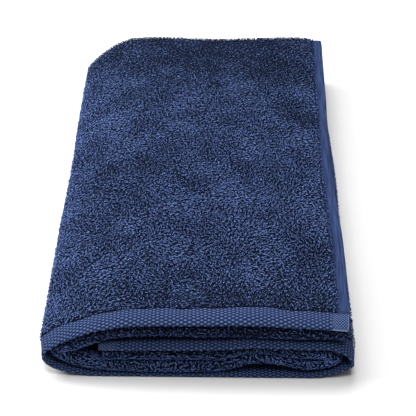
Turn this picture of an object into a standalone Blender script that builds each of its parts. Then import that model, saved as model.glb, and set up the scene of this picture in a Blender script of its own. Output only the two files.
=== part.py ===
"""A terry bath cloth, folded in thirds along its length and then in thirds across its width.

Metres, +Z up. The stack lies flat on z = 0 with its long side along Y. The hemmed end and the folds
show at -Y, the other end is a plain fold, and the free long edge of the top leg is on the +X side.
The origin is at the middle of the footprint, on the ground.
"""

import bpy
import numpy as np

MM = 0.001

# The cloth
TERRY = 2.6 * MM            # thickness of the looped field
HEM = 2.0 * MM              # thickness of the woven band along each short end
SELVEDGE = 1.6 * MM         # thickness of the plain strip along each long edge
HEM_DEPTH = 12.6 * MM
HEM_DROOP = 2.1 * MM        # how far the hem's edge hangs where the outer face looks up
DROOP_DEPTH = 7.0 * MM
SELVEDGE_WIDTH = 7.1 * MM
BAND_STEP = 1.5 * MM        # over this distance the pile rises to its full height

# The folded stack
FOLDED_WIDTH = 174.0 * MM
FOLDED_LENGTH = 338.0 * MM
FRONT_FOLD_BACK = 1.4 * MM  # how far the terry folds stand back from the hem's edge
HIDDEN_END = 9.0 * MM       # how far the hidden hem stops short of the far fold
SECOND_LAYER = 0.48         # where the second layer lies between the first (0) and the third (1)
WIDEST_TURN = 9.4 * MM      # a half turn is no deeper than for layers this far apart
NEAR_STEP = 22.0 * MM       # the first lines of points behind the near folds

# Cross-section, one row per place along the cloth's width, in millimetres from the left side:
# x and z of the outermost layer, x and z of the innermost one, and the steps on to the next row.
SECTION = (
    ("top leg, free edge", 170.2, 35.4, 168.4, 27.4, 2),
    ("top leg, right", 150.0, 36.9, 148.5, 27.0, 2),
    ("top leg, middle", 110.0, 38.0, 110.0, 27.1, 2),
    ("top leg, left", 72.0, 38.0, 76.0, 27.2, 2),
    ("left shoulder", 51.0, 37.3, 57.0, 27.0, 2),
    ("left slope, high", 34.0, 34.0, 41.0, 25.4, 2),
    ("left slope, low", 20.0, 28.9, 29.5, 21.4, 2),
    ("left fold, above", 7.9, 22.6, 20.0, 17.6, 3),
    ("left fold", 1.3, 15.6, 13.2, 15.2, 3),
    ("left fold, below", 5.9, 8.0, 19.0, 12.7, 2),
    ("left foot, high", 15.5, 3.8, 28.5, 9.4, 2),
    ("left foot, low", 33.0, 1.3, 38.0, 7.8, 2),
    ("bottom leg, left", 60.0, 1.3, 61.0, 7.7, 7),
    ("bottom leg, middle", 110.0, 1.3, 110.0, 7.7, 6),
    ("bottom leg, right", 147.0, 1.3, 145.0, 7.7, 2),
    ("right foot", 158.0, 2.1, 151.0, 8.1, 2),
    ("right fold, below", 168.0, 6.0, 155.3, 8.9, 2),
    ("right fold", 172.7, 11.6, 157.6, 10.8, 3),
    ("right fold, above", 168.5, 18.5, 155.2, 12.8, 2),
    ("right shoulder", 157.0, 22.0, 150.8, 12.9, 2),
    ("middle leg, right", 140.0, 22.2, 138.5, 12.2, 6),
    ("middle leg, left", 96.0, 21.5, 96.0, 11.2, 3),
    ("middle leg, end", 52.0, 20.5, 54.0, 11.2, 2),
    ("middle leg, free edge", 33.0, 20.2, 35.6, 11.4, 0),
)

# Soft unevenness: each row moves what lies near (x, y), within its reach both ways, by the given
# millimetres. heights says where it acts: nothing below the first, all of it between the second and
# third, nothing above the fourth.
SWELLS = (
    # name, moves along, millimetres, x, reach, y, reach, heights
    ("arch in the lower fold", "z", 3.0, 113, 17, 0, 56, (1.5, 5.6, 8.6, 28.0)),
    ("arch, right flank", "z", 3.8, 125, 22, 0, 56, (1.5, 5.6, 8.6, 28.0)),
    ("left nose drawn in", "x", 1.8, 0, 40, 0, 15, (8.0, 17.0, 26.0, 34.0)),
    ("right nose drawn in", "x", -1.6, 176, 40, 0, 15, (8.0, 13.0, 22.0, 30.0)),
    ("left fold drawn in", "x", 0.8, 0, 30, 185, 75, (2.0, 8.0, 26.0, 34.0)),
    ("right fold drawn in", "x", -1.5, 176, 28, 125, 110, (2.0, 8.0, 22.0, 30.0)),
    ("right fold drawn in, far", "x", -3.3, 176, 28, 275, 120, (2.0, 8.0, 22.0, 30.0)),
    ("far left shoulder", "z", 2.6, 25, 24, 338, 160, (14.0, 22.0, 50.0, 60.0)),
    ("far end settles", "z", -2.8, 92, 66, 345, 150, (23.0, 30.0, 50.0, 60.0)),
    ("top, hollow behind the hem", "z", -0.8, 85, 60, 26, 22, (23.0, 30.0, 50.0, 60.0)),
    ("top, near ridge", "z", 1.0, 112, 34, 8, 16, (23.0, 30.0, 50.0, 60.0)),
    ("top, left hollow", "z", -1.5, 52, 24, 140, 60, (23.0, 30.0, 50.0, 60.0)),
    ("top, left swell", "z", 0.9, 40, 26, 225, 60, (23.0, 30.0, 50.0, 60.0)),
    ("top, centre hollow", "z", -1.2, 92, 28, 100, 80, (23.0, 30.0, 50.0, 60.0)),
    ("top, right hollow", "z", -1.6, 140, 30, 285, 55, (23.0, 30.0, 50.0, 60.0)),
    ("top, near right hollow", "z", -1.3, 152, 24, 60, 50, (23.0, 30.0, 50.0, 60.0)),
    ("selvedge drawn in", "x", -1.6, 172, 20, 230, 170, (23.0, 30.0, 50.0, 60.0)),
)
CORNER_ROUNDING = 9.5 * MM  # how far the far left corner is rounded off in plan
CORNER_WIDTH = 46.0 * MM
CORNER_DEPTH = 120.0 * MM


def fold_profile():
    """Rows (y, pull, layer, steps) along the cloth's length.

    layer goes from 0, outermost, to 1, innermost. pull times the distance between those two layers, up
    to WIDEST_TURN, is added to y, so that each half turn is as deep as the gap it spans is wide.
    """
    far = FOLDED_LENGTH - TERRY / 2
    near = FRONT_FOLD_BACK + TERRY / 2
    end = far - HIDDEN_END
    rows = [(0.0, 0.0, 0.0, 2), (DROOP_DEPTH, 0.0, 0.0, 1), (HEM_DEPTH, 0.0, 0.0, 1),
            (HEM_DEPTH + BAND_STEP, 0.0, 0.0, 11)]
    rows += half_turn(far, -1, 0.0, SECOND_LAYER, 5)
    rows += [(near + NEAR_STEP, 0.0, SECOND_LAYER, 1)]
    rows += half_turn(near, 1, SECOND_LAYER, 1.0, 1)
    rows += [(near + NEAR_STEP, 0.0, 1.0, 5)]
    rows += [(end - HEM_DEPTH - BAND_STEP, 0.0, 1.0, 1), (end - HEM_DEPTH, 0.0, 1.0, 1),
             (end, 0.0, 1.0, 0)]
    return rows


def half_turn(y, side, layer_from, layer_to, steps_after, turns=6):
    """Rows for a half turn from one layer to the next that reaches y; side is -1 at the far end."""
    rows = []
    for k in range(turns + 1):
        angle = np.pi * k / turns
        layer = layer_from + (layer_to - layer_from) * (1 - np.cos(angle)) / 2
        pull = side * (1 - np.sin(angle)) * (layer_to - layer_from) / 2
        rows.append((y, pull, layer, steps_after if k == turns else 1))
    return rows


def smooth_path(knots, steps):
    """Points along a curve through the knots that never overshoots them, steps[i] to each span.

    The tangent at a knot is the harmonic mean of the slopes either side, along each axis, and has
    length 1.
    """
    knots = np.asarray(knots, float)
    span = np.linalg.norm(np.diff(knots, axis=0), axis=1)[:, None]
    slope = np.diff(knots, axis=0) / span
    before, after = slope[:-1], slope[1:]
    total = np.where(before * after > 0, before + after, 1.0)
    inner = np.where(before * after > 0, 2 * before * after / total, 0.0)
    tangent = np.vstack([slope[:1], inner, slope[-1:]])
    tangent /= np.linalg.norm(tangent, axis=1)[:, None]
    points = []
    for i, count in enumerate(steps):
        f = (np.arange(count) / count)[:, None]
        points.append((1 + 2 * f) * (1 - f) ** 2 * knots[i] + f * f * (3 - 2 * f) * knots[i + 1]
                      + span[i] * (f * (1 - f) ** 2 * tangent[i] - f * f * (1 - f) * tangent[i + 1]))
    return np.vstack(points + [knots[-1:]])


def bump(distance, reach):
    """1 at the middle, falling smoothly to 0 at the reach."""
    return np.cos(np.clip(np.abs(distance) / reach, 0, 1) * np.pi / 2) ** 2


def ease(value, start, end):
    """0 below start, 1 above end, smooth between."""
    f = np.clip((value - start) / (end - start), 0, 1)
    return f * f * (3 - 2 * f)


def swell(x, y, z):
    """Apply the rows of SWELLS and round the far left corner."""
    moved = {"x": x.copy(), "z": z.copy()}
    for _, axis, amount, x_mid, x_reach, y_mid, y_reach, heights in SWELLS:
        low, full, fading, top = (h * MM for h in heights)
        weight = bump(x - x_mid * MM, x_reach * MM) * bump(y - y_mid * MM, y_reach * MM)
        weight = weight * ease(z, low, full) * (1 - ease(z, fading, top))
        moved[axis] += amount * MM * weight
    corner = np.clip(1 - x / CORNER_WIDTH, 0, 1) ** 2
    y = y - CORNER_ROUNDING * corner * ease(y, FOLDED_LENGTH - CORNER_DEPTH, FOLDED_LENGTH)
    return moved["x"], y, moved["z"]


def cloth_grid():
    """The cloth's middle surface: arrays of x, y, z and thickness, width by length."""
    steps = [row[5] for row in SECTION[:-1]]
    outer = smooth_path([row[1:3] for row in SECTION], steps) * MM
    inner = smooth_path([row[3:5] for row in SECTION], steps) * MM
    outer, inner = with_edge_lines(outer, inner)
    y, pull, layer = spread(fold_profile())
    x = outer[:, :1] + (inner[:, :1] - outer[:, :1]) * layer
    z = outer[:, 1:] + (inner[:, 1:] - outer[:, 1:]) * layer
    y = y + np.minimum(np.linalg.norm(inner - outer, axis=1), WIDEST_TURN)[:, None] * pull
    across = run_length(outer)
    along = run_length(np.column_stack([y[len(y) // 8], z[len(z) // 8]]))
    thickness = np.full(x.shape, TERRY)
    end = np.minimum(along, along[-1] - along)
    side = np.minimum(across, across[-1] - across)
    thickness -= (TERRY - HEM) * (1 - ease(end, HEM_DEPTH, HEM_DEPTH + BAND_STEP))[None, :]
    edge = SELVEDGE + (TERRY - SELVEDGE) * ease(side, SELVEDGE_WIDTH, SELVEDGE_WIDTH + BAND_STEP)
    thickness = np.minimum(thickness, edge[:, None])
    x, y, z = swell(x, y, z)
    upward = np.clip(-np.gradient(outer[:, 0]) / np.gradient(across), 0, 1)
    hang = HEM_DROOP * np.clip(1 - along / DROOP_DEPTH, 0, 1) ** 2
    z = z - (TERRY - thickness) / 2 - upward[:, None] * hang
    return x - FOLDED_WIDTH / 2, y - FOLDED_LENGTH / 2, z, thickness


def spread(rows):
    """Columns of the rows with the steps in between filled in; a row's last value is its steps."""
    values = np.array([row[:-1] for row in rows])
    starts = np.concatenate([[0], np.cumsum([row[-1] for row in rows[:-1]])])
    return [np.interp(np.arange(starts[-1] + 1), starts, column) for column in values.T]


def run_length(points):
    """Distance along a line of points, from its first one."""
    return np.concatenate([[0], np.cumsum(np.linalg.norm(np.diff(points, axis=0), axis=1))])


def with_edge_lines(outer, inner):
    """Add the lines where the selvedges meet the pile, at both ends of the section."""
    length = run_length(outer)
    marks = np.array([SELVEDGE_WIDTH, SELVEDGE_WIDTH + BAND_STEP])
    marks = np.concatenate([marks, length[-1] - marks])
    clear = [w for w in length if np.abs(marks - w).min() > BAND_STEP]
    wanted = np.sort(np.concatenate([clear, marks]))
    place = np.interp(wanted, length, np.arange(len(length)))
    index = np.arange(len(length))
    return tuple(np.column_stack([np.interp(place, index, path[:, k]) for k in (0, 1)])
                 for path in (outer, inner))


def grid_mesh(name, x, y, z):
    """A mesh of quads over a grid of points, facing the side where the first axis crosses the second."""
    rows, columns = x.shape
    index = np.arange(rows * columns).reshape(rows, columns)
    quads = np.stack([index[:-1, :-1], index[1:, :-1], index[1:, 1:], index[:-1, 1:]], axis=-1)
    mesh = bpy.data.meshes.new(name)
    mesh.from_pydata(np.stack([x, y, z], axis=-1).reshape(-1, 3).tolist(), [],
                     quads.reshape(-1, 4).tolist())
    mesh.update()
    return mesh


def cotton():
    """Navy cotton: fully rough, not metallic."""
    material = bpy.data.materials.new("navy cotton terry")
    material.use_nodes = True
    shader = material.node_tree.nodes["Principled BSDF"]
    shader.inputs["Base Color"].default_value = (0.027, 0.045, 0.115, 1.0)
    shader.inputs["Roughness"].default_value = 0.95
    shader.inputs["Metallic"].default_value = 0.0
    return material


def towel():
    """The whole folded cloth: its middle surface, thickened by a Solidify modifier."""
    x, y, z, thickness = cloth_grid()
    cloth = bpy.data.objects.new("towel", grid_mesh("towel", x, y, z))
    bpy.context.scene.collection.objects.link(cloth)
    cloth.data.materials.append(cotton())
    cloth.data.shade_smooth()
    share = cloth.vertex_groups.new(name="thickness")
    for vertex, value in enumerate((thickness / TERRY).ravel()):
        share.add([vertex], float(value), "REPLACE")
    solidify = cloth.modifiers.new("thickness", "SOLIDIFY")
    solidify.thickness = TERRY
    solidify.offset = 0.0
    solidify.vertex_group = share.name
    return cloth


for leftover in list(bpy.data.objects):
    bpy.data.objects.remove(leftover, do_unlink=True)
towel()
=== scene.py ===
"""A folded terry bath cloth: woven ground, beaded hems, plain selvedges and looped pile.

Everything lies on one surface, middle(s, t): s runs across the cloth from the free edge of the top
leg, t along it from the hemmed end that shows. The surface blends an outer and an inner section
path by the layer, which changes from 0 to 1 through the half turns along the cloth. Swells then
move it softly. All lengths are metres unless a comment says otherwise.
"""

import math

import bpy
import numpy as np
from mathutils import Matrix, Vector


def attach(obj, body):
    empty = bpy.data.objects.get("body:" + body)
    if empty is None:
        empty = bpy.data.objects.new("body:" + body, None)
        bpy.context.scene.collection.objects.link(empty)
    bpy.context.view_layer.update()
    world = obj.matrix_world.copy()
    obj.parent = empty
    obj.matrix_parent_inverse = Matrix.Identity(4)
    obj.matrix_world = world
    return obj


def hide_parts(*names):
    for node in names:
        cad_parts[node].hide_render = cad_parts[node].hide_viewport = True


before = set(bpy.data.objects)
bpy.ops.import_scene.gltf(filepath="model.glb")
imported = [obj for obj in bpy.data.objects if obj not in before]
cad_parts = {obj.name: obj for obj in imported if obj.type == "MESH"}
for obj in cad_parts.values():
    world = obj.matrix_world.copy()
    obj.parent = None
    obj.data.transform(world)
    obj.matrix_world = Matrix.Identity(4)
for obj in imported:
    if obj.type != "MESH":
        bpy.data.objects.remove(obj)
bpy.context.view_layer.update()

MM = 0.001
IMAGE_PIXELS = 416

# The cloth
TERRY = 2.6 * MM            # thickness of the looped field
HEM = 2.0 * MM              # thickness of the woven band along each short end
SELVEDGE = 1.6 * MM         # thickness of the plain strip along each long edge
HEM_DEPTH = 12.6 * MM
HEM_DROOP = 2.1 * MM        # how far the hem's edge hangs where the outer face looks up
INNER_DROOP = 1.1 * MM      # and on the middle leg
DROOP_DEPTH = 7.0 * MM      # how much of the hem hangs
SELVEDGE_WIDTH = 7.1 * MM
BAND_STEP = 1.5 * MM        # over this distance the cloth rises to the looped field's thickness

# The folded stack
FOLDED_WIDTH = 174.0 * MM
FOLDED_LENGTH = 338.0 * MM
FRONT_FOLD_BACK = 1.4 * MM  # how far the terry folds stand back from the hem's edge
HIDDEN_END = 9.0 * MM       # how far the hidden hem stops short of the far fold
SECOND_LAYER = 0.48         # where the second layer lies between the first (0) and the third (1)
WIDEST_TURN = 9.4 * MM      # a half turn is no deeper than for layers this far apart
NEAR_STEP = 22.0 * MM       # how far behind the near folds the profile has its next row
USUAL_GAP = 10.5 * MM       # how far apart the first and third layers lie on the level

# Cross-section: place, x and z of the outermost layer and of the innermost one in millimetres, and
# the steps on to the next row.
SECTION = (
    ("top leg, free edge", 170.2, 35.4, 168.4, 27.4, 2),
    ("top leg, right", 150.0, 36.9, 148.5, 27.0, 2),
    ("top leg, middle", 110.0, 38.0, 110.0, 27.1, 2),
    ("top leg, left", 72.0, 38.0, 76.0, 27.2, 2),
    ("left shoulder", 51.0, 37.3, 57.0, 27.0, 2),
    ("left slope, high", 34.0, 34.0, 41.0, 25.4, 2),
    ("left slope, low", 20.0, 28.9, 29.5, 21.4, 2),
    ("left fold, above", 7.9, 22.6, 20.0, 17.6, 3),
    ("left fold", 1.3, 15.6, 13.2, 15.2, 3),
    ("left fold, below", 5.9, 8.0, 19.0, 12.7, 2),
    ("left foot, high", 15.5, 3.8, 28.5, 9.4, 2),
    ("left foot, low", 33.0, 1.3, 38.0, 7.8, 2),
    ("bottom leg, left", 60.0, 1.3, 61.0, 7.7, 7),
    ("bottom leg, middle", 110.0, 1.3, 110.0, 7.7, 6),
    ("bottom leg, right", 147.0, 1.3, 145.0, 7.7, 2),
    ("right foot", 158.0, 2.1, 151.0, 8.1, 2),
    ("right fold, below", 168.0, 6.0, 155.3, 8.9, 2),
    ("right fold", 172.7, 11.6, 157.6, 10.8, 3),
    ("right fold, above", 168.5, 18.5, 155.2, 12.8, 2),
    ("right shoulder", 157.0, 22.0, 150.8, 12.9, 2),
    ("middle leg, right", 140.0, 22.2, 138.5, 12.2, 6),
    ("middle leg, left", 96.0, 21.5, 96.0, 11.2, 3),
    ("middle leg, end", 52.0, 20.5, 54.0, 11.2, 2),
    ("middle leg, free edge", 33.0, 20.2, 35.6, 11.4, 0),
)

# Soft unevenness: each row moves what lies near (x, y), within its reach both ways, by the given
# millimetres. heights says where it acts: nothing below the first, all of it between the second and
# third, nothing above the fourth.
SWELLS = (
    # name, moves along, millimetres, x, reach, y, reach, heights
    ("arch in the lower fold", "z", 3.0, 113, 17, 0, 56, (1.5, 5.6, 8.6, 28.0)),
    ("arch, right flank", "z", 3.8, 125, 22, 0, 56, (1.5, 5.6, 8.6, 28.0)),
    ("hem's corner drawn in", "x", -1.7, 172, 22, 0, 26, (23.0, 30.0, 50.0, 60.0)),
    ("right foot lifts", "z", 1.2, 162, 14, 0, 30, (-1.0, 0.5, 9.0, 12.0)),
    ("middle hem comes forward", "y", -0.7, 95, 95, 0, 26, (17.0, 19.0, 22.0, 24.0)),
    ("far corner rounded", "x", -2.4, 178, 14, 343, 12, (23.0, 30.0, 50.0, 60.0)),
    ("top edge drawn in", "x", -1.9, 172, 24, 165, 95, (32.4, 34.2, 50.0, 60.0)),
    ("second layer stands out", "x", 1.6, 172, 16, 165, 95, (28.4, 30.0, 32.6, 34.2)),
    ("top fold stands back", "y", 0.8, 95, 75, 2, 14, (23.5, 26.0, 33.0, 35.0)),
    ("top fold hangs", "z", -1.4, 122, 74, 0, 16, (23.0, 24.5, 28.0, 33.0)),
    ("lower fold comes forward", "y", -0.8, 95, 85, 2, 14, (2.9, 3.6, 8.5, 10.5)),
    ("lower fold over the hem, left", "y", -1.3, 60, 50, 2, 14, (2.9, 3.6, 7.0, 10.5)),
    ("lower fold lifts, right", "z", 2.4, 133, 33, 0, 16, (2.9, 3.4, 5.2, 11.0)),
    ("left nose drawn in", "x", 1.8, 0, 40, 0, 15, (8.0, 17.0, 26.0, 34.0)),
    ("right nose drawn in", "x", -1.6, 176, 40, 0, 15, (8.0, 13.0, 22.0, 30.0)),
    ("left fold drawn in", "x", 0.8, 0, 30, 185, 75, (2.0, 8.0, 26.0, 34.0)),
    ("right fold drawn in", "x", -1.5, 176, 28, 125, 110, (2.0, 8.0, 22.0, 30.0)),
    ("right fold drawn in, far", "x", -3.3, 176, 28, 275, 120, (2.0, 8.0, 22.0, 30.0)),
    ("far left shoulder", "z", 2.6, 25, 24, 338, 160, (14.0, 22.0, 50.0, 60.0)),
    ("far end settles", "z", -2.8, 92, 66, 345, 150, (23.0, 30.0, 50.0, 60.0)),
    ("top, hollow behind the hem", "z", -0.8, 85, 60, 26, 22, (23.0, 30.0, 50.0, 60.0)),
    ("top, near ridge", "z", 1.0, 112, 34, 8, 16, (23.0, 30.0, 50.0, 60.0)),
    ("top, left hollow", "z", -1.5, 52, 24, 140, 60, (23.0, 30.0, 50.0, 60.0)),
    ("top, left swell", "z", 0.9, 40, 26, 225, 60, (23.0, 30.0, 50.0, 60.0)),
    ("top, centre hollow", "z", -1.2, 92, 28, 100, 80, (23.0, 30.0, 50.0, 60.0)),
    ("top, right hollow", "z", -1.6, 140, 30, 285, 55, (23.0, 30.0, 50.0, 60.0)),
    ("top, near right hollow", "z", -1.3, 152, 24, 60, 50, (23.0, 30.0, 50.0, 60.0)),
    ("selvedge drawn in", "x", -1.6, 172, 20, 230, 170, (23.0, 30.0, 50.0, 60.0)),
)
CORNER_ROUNDING = 9.5 * MM  # how far the far left corner draws back
CORNER_WIDTH = 46.0 * MM
CORNER_DEPTH = 120.0 * MM
PATH_FINENESS = 12          # points of the dense section path for each step of the table
FINE_TURNS = 24             # steps of a half turn
NUDGE = 0.3 * MM            # the surface's directions run between points this far to each side
GROUND_SPACING = 3.2 * MM   # between the ground's points across the cloth
EDGE_STEPS = 3              # points round each quarter of an edge

# The beaded hem: round floats of yarn in staggered columns
BEAD_COLUMN = 2.13 * MM     # from one column to the next, which is half a bead further along
BEAD_ROW = 2.04 * MM
BEAD_HALF_WIDTH = 1.58 * MM
BEAD_HALF_LENGTH = 1.06 * MM
BEAD_HEIGHT = 0.7 * MM
COLUMN_WANDER = 0.22 * MM   # how far the columns stray
COLUMN_WAVE = 30 * MM       # and the longest wave in which they do
ROW_WANDER = 0.16 * MM
ROW_WAVE = 22 * MM
FIRST_BEAD = 0.9 * MM       # from the hem's rolled edge to the first beads
PLAIN_CORNER = 10.1 * MM    # no beads this near a selvedge
PLAIN_HEIGHT = 0.8          # of the plain weave, where a bead's top is 1
PLAIN_FADE = 0.7 * MM       # over this distance it gives way to beads
PLAIN_EDGE = (-0.5 * MM, 0.1 * MM)  # it also covers the rolled edge, and gives way between these
CORNER_RADIUS = 0.9 * MM    # of the rounding at the hem's corners
CORNER_DRAW = 4 * MM        # how far behind the edge that rounding ends
BAND_LAP = 3.0 * MM         # the border runs on this far under the pile
LAP_HALF = 0.25 * MM        # and is this thin there, measured from its middle
RIM = (0.3 * MM, 0.8 * MM)  # the corner's pale binding fades out between these, from the edge
SEAM = (1.2 * MM, 0.5 * MM) # the dark line comes in between these, before the pile

# The patterns of the finishes, for each metre of cloth
TWILL_SCALE = 350.0         # of the wave texture: diagonals 1.3 mm apart on the plain corners
SPOT_SCALE = 620.0          # spots between the loops, 1.6 mm apart
RIB_SCALE = (1000.0, 45.0, 1.0)     # ribs of the selvedge: 1 mm apart, even over 22 mm

# The pile: one bent loop of yarn to each square of the ground
LOOP_SQUARE = 1.145 * MM    # on the top
SIDE_SQUARE = 1.65 * MM     # on the right fold
FAR_SQUARE = 1.3 * MM       # round the far turns
NEAR_SQUARE = 1.15 * MM     # round the near turns
YARN = 0.24 * MM            # radius of the yarn
LOOP_SPAN = 1.4 * MM
LOOP_HEIGHT = 1.2 * MM
LOOP_LEAN = 0.6 * MM
LOOP_TWIST = 0.14 * MM      # how unevenly a loop's points lie to either side
LOOP_TURN = -0.95           # the loops' usual direction, in radians from across the cloth
TURN_DRIFT = 0.8            # how far it wanders from place to place
TURN_WAVE = 90 * MM         # and the longest wave in which it does
TURN_SPREAD = 0.5           # how far it differs from loop to loop
TUFT_WAVE = 4.6 * MM        # the longest wave of the tufts, where loops stand higher and are painted paler, as painted light on their tops
TUFT_RISE = 0.22            # how much higher, as a share
GROUND_UNDER_PILE = 0.35 * MM   # half thickness of the ground weave where loops stand on it
FADE = 2 * MM               # over this distance a field of loops gives out
TURN_LAP = 2 * MM           # the far turns' field begins this far into the turns
PAST_TURN = 3 * MM          # and ends this far past them
FOOT_BARE = 4 * MM          # the right fold carries loops from this far round its foot
INNER_PILE = 4 * MM         # how far from the near turns the inner face carries loops
INNER_EDGE = 1 * MM         # and how near the selvedges' edges
PILE_STEP = 0.8 * MM        # over this distance the pile comes in behind the hem
PILE_GAP = (-6 * MM, 22 * MM, 1.9 * MM)  # behind the hem: from the top's middle, reach, depth
PILE_WANDER = 0.45 * MM     # how unevenly the pile begins behind the hem
PILE_WAVE = 45 * MM         # and the longest wave in which it does
SINK = 0.2 * MM             # a loop that would reach further under the floor is left off
FLOOR_GAP = 0.02 * MM       # the lowest that a loop goes

# A loop's four points, foot to foot: shares of its span, lean and height
LOOP_ARCH = np.array([(-0.5, 0.0, -0.35), (-0.24, 0.7, 0.92), (0.26, 0.9, 1.0), (0.5, 0.0, -0.35)])

# The eight points of its tube: how far up the yarn each lies, and its place in the bake map
TUBE_RISE = np.array([0.0, 0.96, 0.62, 0.62, 1.0, 0.66, 0.66, 0.0])
TUBE_AROUND = np.array([0.0, 0.0, 0.008, 0.016, 0.0, 0.008, 0.016, 0.004])

# How light the pile is: its own tone, with painted light on the tufts and the lower folds
TONE_RANGE = 0.75           # how much darker or lighter than usual a loop can be
TUFT_PAINTED_LIGHT = 0.5             # painted light: how much lighter the tufts are painted where they stand higher
PATCH_TONE = 0.12           # how much wider patches differ
PATCH_WAVE = 40 * MM        # and their longest wave
LOOP_TONE = 0.34            # how much one loop differs from the next
LOW_FOLD_PAINTED_LIGHT = 0.65              # painted light: how much lighter the folds lower down are painted, in place of the light that reaches them
LOW_FOLD_PAINTED_LIGHT_HEIGHTS = (14 * MM, 23 * MM)

# The lie of the pile, with painted light and shade: its patches partly stand in for the shading of the
# top's hollows, of its far end and of its left slope. Each row: where, in millimetres, its reach both
# ways, and how much lighter
NAP_AND_PAINTED_SHADING = (
    ("far end", 95, 345, 160, 125, -0.92),
    ("far right", 138, 283, 44, 36, -0.28),
    ("right, beyond the middle", 152, 223, 28, 32, -0.55),
    ("left of the middle", 36, 145, 32, 42, -0.46),
    ("middle", 72, 190, 18, 20, -0.14),
    ("left shoulder, far", 24, 226, 34, 30, 0.18),
    ("left slope, near", 2, 75, 26, 80, 0.12),
    ("left, near", 27, 80, 16, 36, -0.14),
    ("middle, near", 84, 104, 20, 52, -0.16),
    ("right of the middle", 100, 108, 62, 42, 0.22),
    ("right, near", 152, 90, 30, 24, 0.10),
    ("right, nearest", 152, 60, 28, 30, -0.34),
    ("behind the hem", 100, 18, 95, 21, -0.52),
)

# The view
LENS_PIXELS = 1459.3        # focal length in pixels of the image
CAMERA_TARGET = (3.48 * MM, -26.37 * MM, 17.2 * MM)
CAMERA_DISTANCE = 0.9106
CAMERA_AZIMUTH = 0.95       # degrees
CAMERA_ELEVATION = 33.64
SENSOR = 36.0               # width in millimetres, as the lens is
SKY_STRENGTH = 0.2
FLOOR_HALF = 3.0
LIGHTS = (
    # name, place, size, watts
    ("key light", (-1.1, 0.15, 1.12), 0.8, 27.0),
    ("top light", (-0.2, 0.45, 1.4), 0.9, 24.0),
    ("front light", (0.1, -0.72, 1.3), 0.5, 13.0),
)


def half_turn(y, side, layer_from, layer_to):
    """Rows for a half turn between two layers that reaches y; side is -1 at the far end."""
    rows = []
    for k in range(FINE_TURNS + 1):
        angle = np.pi * k / FINE_TURNS
        layer = layer_from + (layer_to - layer_from) * (1 - np.cos(angle)) / 2
        pull = side * (1 - np.sin(angle)) * (layer_to - layer_from) / 2
        rows.append((y, pull, layer))
    return rows


def fold_profile():
    """Rows (y, pull, layer) along the cloth: out to the far turn, back to the near one and in."""
    far = FOLDED_LENGTH - TERRY / 2
    near = FRONT_FOLD_BACK + TERRY / 2
    end = far - HIDDEN_END
    rows = [(0.0, 0.0, 0.0), (HEM_DEPTH, 0.0, 0.0), (HEM_DEPTH + BAND_STEP, 0.0, 0.0)]
    rows += half_turn(far, -1, 0.0, SECOND_LAYER)
    rows += [(near + NEAR_STEP, 0.0, SECOND_LAYER)] + half_turn(near, 1, SECOND_LAYER, 1.0)
    return rows + [(near + NEAR_STEP, 0.0, 1.0), (end, 0.0, 1.0)]


def smooth_path(knots, steps):
    """Hermite curve through the knots, its tangents the harmonic mean of the slopes either side."""
    knots = np.asarray(knots, float)
    span = np.linalg.norm(np.diff(knots, axis=0), axis=1)[:, None]
    slope = np.diff(knots, axis=0) / span
    before, after = slope[:-1], slope[1:]
    total = np.where(before * after > 0, before + after, 1.0)
    inner = np.where(before * after > 0, 2 * before * after / total, 0.0)
    tangent = np.vstack([slope[:1], inner, slope[-1:]])
    tangent /= np.linalg.norm(tangent, axis=1)[:, None]
    points = []
    for i, count in enumerate(steps):
        f = (np.arange(count) / count)[:, None]
        points.append((1 + 2 * f) * (1 - f) ** 2 * knots[i] + f * f * (3 - 2 * f) * knots[i + 1]
                      + span[i] * (f * (1 - f) ** 2 * tangent[i] - f * f * (1 - f) * tangent[i + 1]))
    return np.vstack(points + [knots[-1:]])


def run_length(points):
    """Distance along a line of points, from its first one."""
    return np.concatenate([[0], np.cumsum(np.linalg.norm(np.diff(points, axis=0), axis=1))])


def bump(distance, reach):
    """1 at the middle, falling smoothly to 0 at the reach."""
    return np.cos(np.clip(np.abs(distance) / reach, 0, 1) * np.pi / 2) ** 2


def ease(value, start, end):
    """0 below start, 1 above end, smooth between."""
    f = np.clip((value - start) / (end - start), 0, 1)
    return f * f * (3 - 2 * f)


def swell(x, y, z):
    """Apply the rows of SWELLS and round the far left corner."""
    moved = {"x": x.copy(), "y": y.copy(), "z": z.copy()}
    for _, axis, amount, x_mid, x_reach, y_mid, y_reach, heights in SWELLS:
        low, full, fading, top = (h * MM for h in heights)
        weight = bump(x - x_mid * MM, x_reach * MM) * bump(y - y_mid * MM, y_reach * MM)
        weight = weight * ease(z, low, full) * (1 - ease(z, fading, top))
        moved[axis] += amount * MM * weight
    corner = np.clip(1 - x / CORNER_WIDTH, 0, 1) ** 2
    moved["y"] -= CORNER_ROUNDING * corner * ease(y, FOLDED_LENGTH - CORNER_DEPTH, FOLDED_LENGTH)
    return moved["x"], moved["y"], moved["z"]


# The dense section path and fold profile that middle() reads
STEPS = [row[5] * PATH_FINENESS for row in SECTION[:-1]]
OUTER = smooth_path([row[1:3] for row in SECTION], STEPS) * MM
INNER = smooth_path([row[3:5] for row in SECTION], STEPS) * MM
ACROSS = run_length(OUTER)
WIDTH = ACROSS[-1]
UPWARD = np.clip(-np.gradient(OUTER[:, 0]) / np.gradient(ACROSS), 0, 1)
PLACE = dict(zip([row[0] for row in SECTION], ACROSS[np.concatenate([[0], np.cumsum(STEPS)])]))
FOLD = np.array(fold_profile())
ALONG = run_length(np.column_stack([FOLD[:, 0] + FOLD[:, 1] * USUAL_GAP, FOLD[:, 2] * USUAL_GAP]))
LENGTH = ALONG[-1]
# Three rows of the profile come before the far turn, and one between it and the near turn
FAR_TURN = (ALONG[3], ALONG[3 + FINE_TURNS])
NEAR_TURN = (ALONG[5 + FINE_TURNS], ALONG[5 + 2 * FINE_TURNS])


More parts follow.
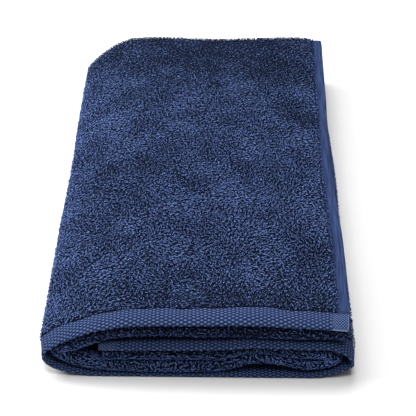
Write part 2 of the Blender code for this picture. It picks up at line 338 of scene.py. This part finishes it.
def thickness(s, t):
    """Full thickness of the cloth: hem bands at both ends, selvedges at both sides, terry between."""
    end, side = np.minimum(t, LENGTH - t), np.minimum(s, WIDTH - s)
    thick = TERRY - (TERRY - HEM) * (1 - ease(end, HEM_DEPTH, HEM_DEPTH + BAND_STEP))
    edge = SELVEDGE + (TERRY - SELVEDGE) * ease(side, SELVEDGE_WIDTH, SELVEDGE_WIDTH + BAND_STEP)
    return np.minimum(thick, np.where(end < HEM_DEPTH, HEM, edge))


def middle(s, t):
    """The cloth's middle surface: the outer and inner section paths blended by the layer."""
    s, t = np.clip(s, 0, WIDTH), np.clip(t, 0, LENGTH)
    ox, oz, ix, iz = (np.interp(s, ACROSS, line) for line in (*OUTER.T, *INNER.T))
    y, pull, layer = (np.interp(t, ALONG, line) for line in FOLD.T)
    y = y + np.minimum(np.hypot(ix - ox, iz - oz), WIDEST_TURN) * pull
    x, y, z = swell(ox + (ix - ox) * layer, y, oz + (iz - oz) * layer)
    hang = np.where(s > PLACE["right fold"], INNER_DROOP, HEM_DROOP) * np.interp(s, ACROSS, UPWARD)
    hang = hang * np.clip(1 - t / DROOP_DEPTH, 0, 1) ** 2
    z = z - (TERRY - thickness(s, t)) / 2 - hang
    return np.stack([x - FOLDED_WIDTH / 2, y - FOLDED_LENGTH / 2, z], axis=-1)


def unit(vectors):
    """The same directions at length 1."""
    return vectors / np.maximum(np.linalg.norm(vectors, axis=-1, keepdims=True), 1e-12)


def directions(s, t):
    """Unit vectors along the cloth, across it and out of its outer face."""
    s, t = np.clip(s, NUDGE, WIDTH - NUDGE), np.clip(t, NUDGE, LENGTH - NUDGE)
    along = unit(middle(s, t + NUDGE) - middle(s, t - NUDGE))
    across = unit(middle(s + NUDGE, t) - middle(s - NUDGE, t))
    return along, across, unit(np.cross(along, across))


def between(value, start, end, soft):
    """1 from start to end, falling to 0 over soft outside both."""
    return ease(value, start - soft, start) * (1 - ease(value, end, end + soft))


def near_turn(t):
    """1 round the near folds, 0 away from them."""
    return between(t, NEAR_TURN[0] - INNER_PILE, NEAR_TURN[1] + INNER_PILE, FADE)


def pile_start(s):
    """Where the pile begins behind the hem: it wanders a little and gives way at one place."""
    beside, reach, depth = PILE_GAP
    gap = bump(s - PLACE["top leg, middle"] - beside, reach)
    return HEM_DEPTH + depth * gap + PILE_WANDER * drift(s, 0 * s, 31, PILE_WAVE)


def piled(s, t, side):
    """How much of the ground carries loops, on the outer (1) or inner (-1) face."""
    if side < 0:
        return between(s, INNER_EDGE, WIDTH - INNER_EDGE, INNER_EDGE) * near_turn(t)
    edge = SELVEDGE_WIDTH + BAND_STEP / 2
    field = between(s, edge, WIDTH - edge, BAND_STEP)
    shown = np.maximum(between(s, 0, PLACE["left foot, high"], FADE),
                       between(s, PLACE["right foot"] + FOOT_BARE, PLACE["middle leg, right"], FADE))
    reach = between(t, pile_start(s), FAR_TURN[1] + PAST_TURN, PILE_STEP)
    turn = between(t, FAR_TURN[0] + TURN_LAP, FAR_TURN[1] + PAST_TURN, FADE)
    return field * np.maximum(shown * reach, turn)


def make_mesh(name, points, faces, values, bake_map):
    """A smooth mesh from points and a list of face arrays, with its values and its bake map."""
    mesh = bpy.data.meshes.new(name)
    mesh.vertices.add(len(points))
    mesh.vertices.foreach_set("co", np.asarray(points, np.float32).ravel())
    corners = np.concatenate([f.ravel() for f in faces])
    sizes = np.concatenate([np.full(len(f), f.shape[1]) for f in faces])
    mesh.loops.add(len(corners))
    mesh.loops.foreach_set("vertex_index", corners.astype(np.int32))
    mesh.polygons.add(len(sizes))
    mesh.polygons.foreach_set("loop_start", (np.cumsum(sizes) - sizes).astype(np.int32))
    mesh.update(calc_edges=True)
    for key, value in values.items():
        data = mesh.attributes.new(key, "FLOAT", "POINT").data
        data.foreach_set("value", np.ravel(value).astype(np.float32))
    unwrapped = mesh.uv_layers.new(name="OFBake")
    unwrapped.data.foreach_set("uv", bake_map[corners].astype(np.float32).ravel())
    mesh.shade_smooth()
    return mesh


def place(name, mesh, material):
    """A piece of the towel: linked and riding on the body."""
    piece = bpy.data.objects.new(name, mesh)
    bpy.context.scene.collection.objects.link(piece)
    mesh.materials.append(material)
    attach(piece, "root")
    return piece


def signed_volume(points, quads):
    """Volume inside a closed mesh of quads, negative where they face inwards."""
    a, b, c, d = (points[quads[:, k]] for k in range(4))
    return float((np.cross(b, c) * a).sum() + (np.cross(c, d) * a).sum()) / 6


def closed_band(rings, values):
    """Points, faces, values and map of a closed band: equal rings joined in a row, laddered shut.

    A ring's point i lies across the cloth from its point count - 1 - i, so the two ends close with
    quads between such pairs.
    """
    rows, count = rings.shape[:2]
    index = np.arange(rows * count).reshape(rows, count)
    after = np.roll(index, -1, axis=1)
    sides = np.stack([index[:-1], after[:-1], after[1:], index[1:]], axis=-1).reshape(-1, 4)
    half = np.arange(count // 2 - 1)
    ladder = np.stack([half, count - 1 - half, count - 2 - half, half + 1], axis=-1)
    faces = np.concatenate([sides, index[0][ladder], index[-1][ladder[:, ::-1]]])
    around, along = np.meshgrid(np.arange(count) / count, np.arange(rows) / rows)
    bake_map = np.stack([around, along], axis=-1).reshape(-1, 2)
    points = rings.reshape(-1, 3)
    if signed_volume(points, faces) < 0:
        faces = faces[:, ::-1]
    return points, [faces], values, bake_map


def both_faces(outer, inner):
    """Rings from the points or values of the outer face and of the inner one, which runs back."""
    return np.concatenate([outer, inner[:, ::-1]], axis=1)


def drift(x, y, seed, longest, waves=7):
    """A soft unevenness about -1 to 1: a sum of plane waves of seeded directions and lengths."""
    rng = np.random.default_rng(seed)
    total = 0.0
    for _ in range(waves):
        turn = rng.uniform(0, 2 * np.pi)
        length = longest * rng.uniform(0.3, 1)
        phase = rng.uniform(0, 6.3)
        total = total + np.cos((x * np.cos(turn) + y * np.sin(turn)) * 2 * np.pi / length + phase)
    return total / np.sqrt(waves * 0.9)


def rounded_half(start, end, spacing, radius):
    """Positions with their lift and push for one face and its two round edges.

    lift is the cosine of the angle round the edge, 1 on the face; push is its sine, which moves the
    point outwards from the edge's centre line, radius inside start and end.
    """
    angle = (np.arange(EDGE_STEPS) + 0.5) / EDGE_STEPS * np.pi / 2
    face = np.linspace(start + radius, end - radius, int((end - start) / spacing) + 1)
    where = np.concatenate([np.full(EDGE_STEPS, face[0]), face, np.full(EDGE_STEPS, face[-1])])
    lift = np.concatenate([np.cos(angle[::-1]), np.ones(len(face)), np.cos(angle)])
    push = np.concatenate([-np.sin(angle[::-1]), np.zeros(len(face)), np.sin(angle)])
    return where, lift, push


def woven_ground(material):
    """The cloth without its pile: a closed band of rings round the cloth's width, one for each t."""
    radius = SELVEDGE / 2
    where, lift, push = rounded_half(0, WIDTH, GROUND_SPACING, radius)
    stretches = (
        # from, to, lines of points
        (HEM_DEPTH - 0.6 * MM, HEM_DEPTH + 3 * MM, 5),
        (HEM_DEPTH + 3 * MM, FAR_TURN[0], 44),
        (*FAR_TURN, 13),
        (FAR_TURN[1], NEAR_TURN[0], 14),
        (*NEAR_TURN, 13),
        (NEAR_TURN[1], LENGTH - HEM_DEPTH - BAND_STEP, 6),
        (LENGTH - HEM_DEPTH, LENGTH, 3),
    )
    stations = np.unique(np.concatenate([np.linspace(*stretch) for stretch in stretches]))
    s, t = np.meshgrid(where, stations)
    along, across, out = directions(s, t)
    centre, half = middle(s, t), thickness(s, t) / 2
    under_hem = 1 - ease(t, HEM_DEPTH + BAND_LAP, HEM_DEPTH + BAND_LAP + 2 * MM)
    rings, shaded_cover = [], []
    for side in (1, -1):
        loops = piled(s, t, side)
        lifted = (half - (half - GROUND_UNDER_PILE) * np.maximum(loops, under_hem)) * lift
        rings.append(centre + side * out * lifted[..., None] + across * (radius * push)[..., None])
        shaded_cover.append(loops)
    inward = np.minimum(s, WIDTH - s)
    selvedge = 1 - ease(inward, SELVEDGE_WIDTH - 0.4 * MM, SELVEDGE_WIDTH + 0.4 * MM)
    selvedge *= 1 - near_turn(t)
    # bare falls to 0 where loops stand; the material paints the ground there in shade.
    values = {"bare": 1 - both_faces(*shaded_cover), "selvedge": both_faces(selvedge, selvedge),
              "s": both_faces(s, s), "t": both_faces(t, t)}
    mesh = make_mesh("woven_ground", *closed_band(both_faces(*rings), values))
    return place("woven_ground", mesh, material)


def bead_relief(s, t):
    """Height of the hem's surface, 0 in a crease and 1 on a bead, and how plain the weave is.

    The beads are domes on two lattices half a step apart; the height is that of the nearer dome.
    """
    tall = 0.0
    for shift in (0.0, 0.5):
        a = (s / (2 * BEAD_COLUMN) - shift + 0.5) % 1 - 0.5
        b = ((t - FIRST_BEAD) / BEAD_ROW - shift + 0.5) % 1 - 0.5
        far = np.hypot(a * 2 * BEAD_COLUMN / BEAD_HALF_WIDTH, b * BEAD_ROW / BEAD_HALF_LENGTH)
        tall = np.maximum(tall, np.sqrt(np.clip(1 - far * far, 0, 1)))
    plain = 1 - between(s, PLAIN_CORNER, WIDTH - PLAIN_CORNER, PLAIN_FADE)
    plain = np.maximum(plain, 1 - ease(t, *PLAIN_EDGE))
    return tall * (1 - plain) + PLAIN_HEIGHT * plain, plain


def beaded_hem(material):
    """The near hem: a closed band of rings round its depth, one for each s, with domed beads."""
    radius = HEM / 2
    lap_end = HEM_DEPTH + BAND_LAP
    where, lift, push = rounded_half(0, lap_end, BEAD_ROW / 5, radius)
    back = where > lap_end - BAND_LAP / 2
    lift = np.where(back, np.maximum(lift, 0.7), lift)
    push = np.where(back, 0, push)
    edge = np.array([0.05, 0.2, 0.5]) * MM
    columns = np.linspace(CORNER_RADIUS, WIDTH - CORNER_RADIUS, int(WIDTH / (BEAD_COLUMN / 4)))
    t, s = np.meshgrid(where, np.concatenate([edge, columns, WIDTH - edge[::-1]]))
    corner = 1 - np.clip(np.minimum(s, WIDTH - s) / CORNER_RADIUS, 0, 1)
    full = np.sqrt(np.clip(1 - corner ** 2, 0.02, 1))
    along, across, out = directions(s, t)
    drawn = (1 - full) * CORNER_RADIUS * (1 - ease(t, 0, CORNER_DRAW))
    centre = middle(s, t + drawn)
    bead_s = s + COLUMN_WANDER * drift(s, t, 3, COLUMN_WAVE)
    bead_t = np.where(push < 0, t + radius * push, t) + ROW_WANDER * drift(s, t, 4, ROW_WAVE)
    tall, plain = bead_relief(bead_s, bead_t)
    rings, shaded_cover = [], []
    for side in (1, -1):
        under = np.maximum(piled(s, t, side), ease(t, HEM_DEPTH + BAND_LAP / 2, lap_end))
        face = (radius - BEAD_HEIGHT * (1 - tall) * np.abs(lift)) * full
        face = face + (LAP_HALF - face) * under
        ring = centre + side * out * (face * lift)[..., None] + along * (face * push)[..., None]
        rings.append(ring)
        shaded_cover.append(under)
    # Where the border lies under the pile the material paints it in shade.
    values = {"plain": both_faces(plain, plain), "shaded_cover": both_faces(*shaded_cover),
              "s": both_faces(bead_s, bead_s), "t": both_faces(bead_t, bead_t)}
    mesh = make_mesh("beaded_hem", *closed_band(both_faces(*rings), values))
    return place("beaded_hem", mesh, material)


def loop_arches(s, t, side, tall, tufts, rng):
    """Each loop's foot, the way up there, the four points of its arch and its yarn's radius.

    A loop spans LOOP_SPAN along its own direction, rises LOOP_HEIGHT times tall and leans over
    sideways. Its two feet end in points below the ground.
    """
    count = len(s)
    along, across, out = directions(s, t)
    up = side * out
    foot = middle(s, t) + up * GROUND_UNDER_PILE
    wander = TURN_DRIFT * drift(s, t, 21, TURN_WAVE) + rng.normal(0, TURN_SPREAD, count)
    turn = (LOOP_TURN + wander)[:, None]
    ahead = np.cos(turn) * across + np.sin(turn) * along
    aside = np.cross(up, ahead)
    span = LOOP_SPAN * rng.uniform(0.75, 1.2, count)
    high = tall * LOOP_HEIGHT * rng.uniform(0.75, 1.1, count) * (1 + TUFT_RISE * tufts)
    lean = LOOP_LEAN * rng.normal(0.6, 0.7, count)
    yarn = YARN * rng.uniform(0.85, 1.15, count)
    twist = LOOP_TWIST * rng.normal(0, 1, (count, 4))
    forth, over, rise = (LOOP_ARCH[:, k] * size[:, None] for k, size in enumerate((span, lean, high)))
    arch = foot[:, None] + forth[..., None] * ahead[:, None]
    arch += (over + twist)[..., None] * aside[:, None] + rise[..., None] * up[:, None]
    return foot, up, arch, yarn


def loop_tubes(arch, up, yarn):
    """The eight points of each loop's tube: one at each foot and rings of three at its top."""
    tangent = unit(arch[:, 2:] - arch[:, :-2])
    level = unit(np.cross(up[:, None], tangent))
    crown = np.cross(tangent, level)
    angle = np.radians([90, 210, 330])[:, None]
    spoke = np.cos(angle) * level[:, :, None] + np.sin(angle) * crown[:, :, None]
    rings = arch[:, 1:3, None] + spoke * yarn[:, None, None, None]
    return np.concatenate([arch[:, :1], rings.reshape(len(arch), 6, 3), arch[:, 3:]], axis=1)


def tube_faces(count):
    """Faces of the tubes: three at each foot and three between the rings."""
    here = np.arange(3)
    after = (here + 1) % 3
    first = np.stack([0 * here, 1 + after, 1 + here], 1)
    last = np.stack([4 + here, 4 + after, 0 * here + 7], 1)
    body = np.stack([1 + here, 1 + after, 4 + after, 4 + here], 1)
    base = len(TUBE_RISE) * np.arange(count)[:, None, None]
    feet = base + np.concatenate([first, last])
    return [feet.reshape(-1, 3), (base + body).reshape(-1, 4)]


def pile(name, s_range, t_range, side, seed, square, tall, material):
    """Loops of yarn over one area of the ground, one somewhere in each square."""
    rng = np.random.default_rng(seed)
    s, t = np.meshgrid(np.arange(*s_range, square), np.arange(*t_range, square))
    s, t = (a.ravel() + square * rng.uniform(0.02, 0.98, a.size) for a in (s, t))
    keep = piled(s, t, side) > rng.uniform(0.35, 0.75, s.size)
    s, t = s[keep], t[keep]
    tufts = drift(s, t, 23, TUFT_WAVE, 16)
    foot, up, arch, yarn = loop_arches(s, t, side, tall, tufts, rng)
    points = loop_tubes(arch, up, yarn)
    above = points[..., 2].min(axis=1) > -SINK
    points, s, t = points[above], s[above], t[above]
    points[..., 2] = np.maximum(points[..., 2], FLOOR_GAP)
    # Painted light and shade: the nap table's patches, the lower folds and the tufts are painted
    # lighter or darker; the wider patches and each loop's tone differ at random.
    shade = nap_and_painted_shading(foot[above]) + PATCH_TONE * drift(s, t, 22, PATCH_WAVE) + TUFT_PAINTED_LIGHT * tufts[above]
    shade = shade + rng.normal(0, LOOP_TONE, len(points))
    tone = np.clip(0.5 + 0.5 * shade / TONE_RANGE, 0.02, 0.97)
    tone = np.repeat(tone[:, None], len(TUBE_RISE), axis=1)
    rise = np.tile(TUBE_RISE, (len(points), 1))
    bake_map = np.stack([np.clip(tone + TUBE_AROUND, 0, 1), 0.02 + 0.96 * rise], axis=-1)
    mesh = make_mesh(name, points.reshape(-1, 3), tube_faces(len(points)),
                     {"rise": rise, "tone": tone}, bake_map.reshape(-1, 2))
    return place(name, mesh, material)


def nap_and_painted_shading(foot):
    """Where the pile is lighter or darker: the nap table's rows on the stack's plan, partly painted
    light and shade, and painted light on the lower folds.
    """
    x, y = (foot[:, 0] + FOLDED_WIDTH / 2) / MM, (foot[:, 1] + FOLDED_LENGTH / 2) / MM
    rows = np.array([row[1:] for row in NAP_AND_PAINTED_SHADING])[:, :, None]
    patches = rows[:, 4] * bump(x - rows[:, 0], rows[:, 2]) * bump(y - rows[:, 1], rows[:, 3])
    return patches.sum(axis=0) + LOW_FOLD_PAINTED_LIGHT * (1 - ease(foot[:, 2], *LOW_FOLD_PAINTED_LIGHT_HEIGHTS))


def linear(code):
    """An sRGB colour such as '#2E3C5F' as linear light, with full alpha."""
    parts = [int(code[k:k + 2], 16) / 255 for k in (1, 3, 5)]
    return (*(p / 12.92 if p <= 0.04045 else ((p + 0.055) / 1.055) ** 2.4 for p in parts), 1.0)


def add(tree, kind, settings=None, values=None, links=None):
    """Add a node: its settings, its sockets' values and the links into it."""
    made = tree.nodes.new(kind)
    for name, value in (settings or {}).items():
        setattr(made, name, value)
    for name, value in (values or {}).items():
        made.inputs[name].default_value = value
    for name, source in (links or {}).items():
        tree.links.new(source, made.inputs[name])
    return made


def ramp(tree, value, *stops):
    """A value turned into a colour by stops of position and colour; the two ends come first."""
    made = add(tree, "ShaderNodeValToRGB", links={"Fac": value})
    for k, (position, code) in enumerate(stops):
        stop = made.color_ramp.elements[k] if k < 2 else made.color_ramp.elements.new(position)
        stop.position = position
        stop.color = linear(code)
    return made.outputs["Color"]


def mix(tree, share, first, second):
    """The first colour turning into the second as share rises; each is a code or an output."""
    ends = {6: first, 7: second}
    codes = {k: linear(end) for k, end in ends.items() if isinstance(end, str)}
    links = {k: end for k, end in ends.items() if not isinstance(end, str)}
    return add(tree, "ShaderNodeMix", {"data_type": "RGBA"}, codes, {0: share, **links}).outputs[2]


def fade(tree, value, start, end, before, after):
    """A smooth step of value, from before at start to after at end."""
    return add(tree, "ShaderNodeMapRange", {"interpolation_type": "SMOOTHSTEP"},
               {"From Min": start, "From Max": end, "To Min": before, "To Max": after},
               {"Value": value}).outputs["Result"]


def combine(tree, operation, first, second):
    """Two values combined by a Math node."""
    node = add(tree, "ShaderNodeMath", {"operation": operation}, links={0: first, 1: second})
    return node.outputs["Value"]


def attributes(tree, *names):
    """The mesh's own values of these names."""
    return [add(tree, "ShaderNodeAttribute", {"attribute_name": name}).outputs["Fac"] for name in names]


def on_cloth(tree, s, t):
    """The place on the cloth as a vector, in metres."""
    return add(tree, "ShaderNodeCombineXYZ", links={"X": s, "Y": t}).outputs["Vector"]


def cotton(name, roughness, sheen):
    """Cotton: IOR 1.53, matt, with its fibre ends' soft sheen. Returns material, tree and shader."""
    material = bpy.data.materials.new(name)
    material.use_nodes = True
    shader = material.node_tree.nodes["Principled BSDF"]
    for socket, value in {"Roughness": roughness, "IOR": 1.53, "Specular IOR Level": 0.06,
                          "Sheen Weight": sheen, "Sheen Roughness": 0.45,
                          "Sheen Tint": linear("#5F7FC4")}.items():
        shader.inputs[socket].default_value = value
    return material, material.node_tree, shader


def dress(tree, shader, colour, height, depth):
    """Give the shader its colour and the bumps of this height and depth."""
    bumps = add(tree, "ShaderNodeBump", values={"Strength": 0.5, "Distance": depth},
                links={"Height": height})
    tree.links.new(colour, shader.inputs["Base Color"])
    tree.links.new(bumps.outputs["Normal"], shader.inputs["Normal"])


def terry_yarn():
    """Loop yarn: carded cotton, vat dyed navy. Painted shade darkens it towards its foot, in place of
    the shade the loops cast on one another; each loop different.
    """
    material, tree, shader = cotton("terry loop yarn, carded cotton dyed navy", 0.92, 0.06)
    rise, tone = attributes(tree, "rise", "tone")
    # Painted shade: near black at the yarn's feet, full colour at its top, standing in for the shade
    # deep in the pile.
    depth = ramp(tree, rise, (0.0, "#00030F"), (0.98, "#5E75A9"), (0.68, "#061138"))
    shift = add(tree, "ShaderNodeMapRange", links={"Value": tone},
                values={"To Min": 1 - TONE_RANGE, "To Max": 1 + TONE_RANGE})
    colour = add(tree, "ShaderNodeVectorMath", {"operation": "SCALE"},
                 links={0: depth, "Scale": shift.outputs["Result"]})
    tree.links.new(colour.outputs["Vector"], shader.inputs["Base Color"])
    return material


def ground_weave():
    """Ground weave and selvedge: plain weave with painted shade making it near black where loops stand
    on it, ribbed on the selvedge.
    """
    material, tree, shader = cotton("plain woven cotton ground, navy", 0.9, 0.1)
    bare, selvedge, s, t = attributes(tree, "bare", "selvedge", "s", "t")
    where = on_cloth(tree, s, t)
    spots = add(tree, "ShaderNodeTexVoronoi", {"feature": "F1"}, {"Scale": SPOT_SCALE},
                {"Vector": where}).outputs["Distance"]
    ribs = add(tree, "ShaderNodeMapping", values={"Scale": RIB_SCALE},
               links={"Vector": where}).outputs["Vector"]
    strands = add(tree, "ShaderNodeTexNoise", values={"Scale": 1.0, "Detail": 2.0},
                  links={"Vector": ribs}).outputs["Fac"]
    # Painted shade: where loops stand on the ground it turns near black, in place of the shade under
    # the pile.
    field = mix(tree, bare, "#060A18", ramp(tree, spots, (0.1, "#2A3860"), (0.75, "#0C1226")))
    edge = ramp(tree, strands, (0.32, "#17213C"), (0.68, "#2E3D61"))
    height = add(tree, "ShaderNodeMath", {"operation": "MULTIPLY_ADD"}, {1: -0.6},
                 {0: spots, 2: strands}).outputs["Value"]
    dress(tree, shader, mix(tree, selvedge, field, edge), height, 0.4 * MM)
    return material


def bead_distance(tree, where):
    """Distance from the nearest bead's middle, 1 at its outline, on two lattices half a step apart."""
    distances = []
    wide, long = 2 * BEAD_COLUMN / BEAD_HALF_WIDTH, BEAD_ROW / BEAD_HALF_LENGTH
    for shift in (0.0, 0.5):
        cell = add(tree, "ShaderNodeVectorMath", {"operation": "MULTIPLY_ADD"},
                   {1: (0.5 / BEAD_COLUMN, 1 / BEAD_ROW, 0),
                    2: (0.5 - shift, 0.5 - shift - FIRST_BEAD / BEAD_ROW, 0)}, {0: where})
        part = add(tree, "ShaderNodeVectorMath", {"operation": "FRACTION"},
                   links={0: cell.outputs["Vector"]})
        offset = add(tree, "ShaderNodeVectorMath", {"operation": "MULTIPLY_ADD"},
                     {1: (wide, long, 0), 2: (-wide / 2, -long / 2, 0)}, {0: part.outputs["Vector"]})
        distances.append(add(tree, "ShaderNodeVectorMath", {"operation": "LENGTH"},
                             links={0: offset.outputs["Vector"]}).outputs["Value"])
    return combine(tree, "MINIMUM", *distances)


def twill(tree, where, way):
    """Fine diagonals, leaning one way (1) or the other (-1)."""
    turned = add(tree, "ShaderNodeVectorMath", {"operation": "MULTIPLY"}, {1: (way, 1, 1)},
                 {0: where}).outputs["Vector"]
    return add(tree, "ShaderNodeTexWave", {"bands_direction": "DIAGONAL"},
               {"Scale": TWILL_SCALE, "Distortion": 0.8, "Detail": 1.0, "Detail Scale": 2.0},
               {"Vector": turned}).outputs["Fac"]


def corner_colour(tree, s, t, weave):
    """The plain corners: crosshatched, with a pale bound rim and a dark seam before the pile."""
    bound = combine(tree, "MULTIPLY", fade(tree, combine(tree, "MINIMUM", s, t), *RIM, 0.75, 0.0),
                    fade(tree, s, PLAIN_CORNER, 1.4 * PLAIN_CORNER, 1.0, 0.0))
    hatched = ramp(tree, weave, (0.1, "#1A253F"), (0.72, "#53668F"))
    seam = fade(tree, t, HEM_DEPTH - SEAM[0], HEM_DEPTH - SEAM[1], 0.0, 0.8)
    return mix(tree, seam, mix(tree, bound, hatched, "#7488B2"), "#131D38")


def dobby_weave():
    """Dobby border: firm mercerised cotton floats, with painted light on the beads' tops, painted shade
    in the creases, and painted shade where it runs under the pile.
    """
    material, tree, shader = cotton("dobby woven cotton border, navy", 0.8, 0.1)
    plain, shaded_cover, s, t = attributes(tree, "plain", "shaded_cover", "s", "t")
    where = on_cloth(tree, s, t)
    distance = bead_distance(tree, where)
    # Painted light and shade: pale on each bead's top, falling to near black in the creases between
    # beads.
    beads_lit_and_shaded = ramp(tree, distance,
                 (0.1, "#4A5D86"), (0.95, "#060B1B"), (0.53, "#2D3B5D"), (0.77, "#101A36"))
    weave = combine(tree, "MULTIPLY", twill(tree, where, 1), twill(tree, where, -1))
    colour = mix(tree, plain, beads_lit_and_shaded, corner_colour(tree, s, t, weave))
    dome = fade(tree, distance, 0.3, 1.0, 1.0, 0.0)
    height = add(tree, "ShaderNodeMix", {"data_type": "FLOAT"}, links={0: plain, 2: dome, 3: weave})
    # Painted shade: where the border runs under the pile it turns near black.
    dress(tree, shader, mix(tree, shaded_cover, colour, "#060A18"), height.outputs[0], 0.35 * MM)
    return material


def paper():
    """White studio paper: matt, with no pattern that shows."""
    material = bpy.data.materials.new("white studio paper")
    material.use_nodes = True
    shader = material.node_tree.nodes["Principled BSDF"]
    shader.inputs["Base Color"].default_value = linear("#D1D1D1")
    shader.inputs["Roughness"].default_value = 0.95
    shader.inputs["Specular IOR Level"].default_value = 0.1
    return material


def lay_floor():
    """A plain pale floor."""
    floor = bpy.data.objects.new("floor", bpy.data.meshes.new("floor"))
    corners = [(x * FLOOR_HALF, y * FLOOR_HALF, 0) for x, y in ((-1, -1), (1, -1), (1, 1), (-1, 1))]
    floor.data.from_pydata(corners, [], [(0, 1, 2, 3)])
    floor.data.materials.append(paper())
    bpy.context.scene.collection.objects.link(floor)


def light_stage():
    """An even sky and the soft lights of LIGHTS, each turned to the origin."""
    world = bpy.data.worlds.new("soft studio")
    world.use_nodes = True
    sky = world.node_tree.nodes["Background"]
    sky.inputs["Color"].default_value = (1, 1, 1, 1)
    sky.inputs["Strength"].default_value = SKY_STRENGTH
    bpy.context.scene.world = world
    for name, spot, size, watts in LIGHTS:
        light = bpy.data.lights.new(name, "AREA")
        light.energy = watts
        light.size = size
        lamp = bpy.data.objects.new(name, light)
        lamp.location = spot
        lamp.rotation_euler = (-Vector(spot)).to_track_quat("-Z", "Y").to_euler()
        bpy.context.scene.collection.objects.link(lamp)


def set_camera():
    """The camera on its sphere round the target, looking at it."""
    camera = bpy.data.objects.new("camera", bpy.data.cameras.new("camera"))
    camera.data.sensor_width = SENSOR
    camera.data.lens = SENSOR * LENS_PIXELS / IMAGE_PIXELS
    azimuth, elevation = math.radians(CAMERA_AZIMUTH), math.radians(CAMERA_ELEVATION)
    level = math.cos(elevation)
    back = Vector((math.sin(azimuth) * level, -math.cos(azimuth) * level, math.sin(elevation)))
    camera.location = Vector(CAMERA_TARGET) + CAMERA_DISTANCE * back
    camera.rotation_euler = (-back).to_track_quat("-Z", "Y").to_euler()
    bpy.context.scene.collection.objects.link(camera)
    bpy.context.scene.camera = camera
    bpy.context.scene.view_settings.view_transform = "Standard"


def pile_fields():
    """The areas that carry loops: name, s range, t range, side, seed, square and height share."""
    turns = FAR_TURN[0] + TURN_LAP
    left_end = PLACE["left foot, high"] + FADE
    thirds = np.linspace(HEM_DEPTH, turns, 4)
    top = [(f"pile_top_{k + 1}", (SELVEDGE_WIDTH, left_end), (thirds[k], thirds[k + 1]), 1, 30 + k,
            LOOP_SQUARE, 1.0) for k in range(3)]
    return top + [
        ("pile_right_fold", (PLACE["right foot"], PLACE["middle leg, right"]), (HEM_DEPTH, turns),
         1, 40, SIDE_SQUARE, 0.75),
        ("pile_far_turns", (SELVEDGE_WIDTH, WIDTH - SELVEDGE_WIDTH), (turns, FAR_TURN[1] + 4 * MM),
         1, 50, FAR_SQUARE, 1.0),
        ("pile_near_turns", (0, WIDTH), (NEAR_TURN[0] - 5 * MM, NEAR_TURN[1] + 5 * MM),
         -1, 60, NEAR_SQUARE, 0.9),
    ]


lay_floor()
light_stage()
set_camera()
cloth = woven_ground(ground_weave())
hem = beaded_hem(dobby_weave())
yarn = terry_yarn()
piles = [pile(*field, yarn) for field in pile_fields()]
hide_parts("towel")
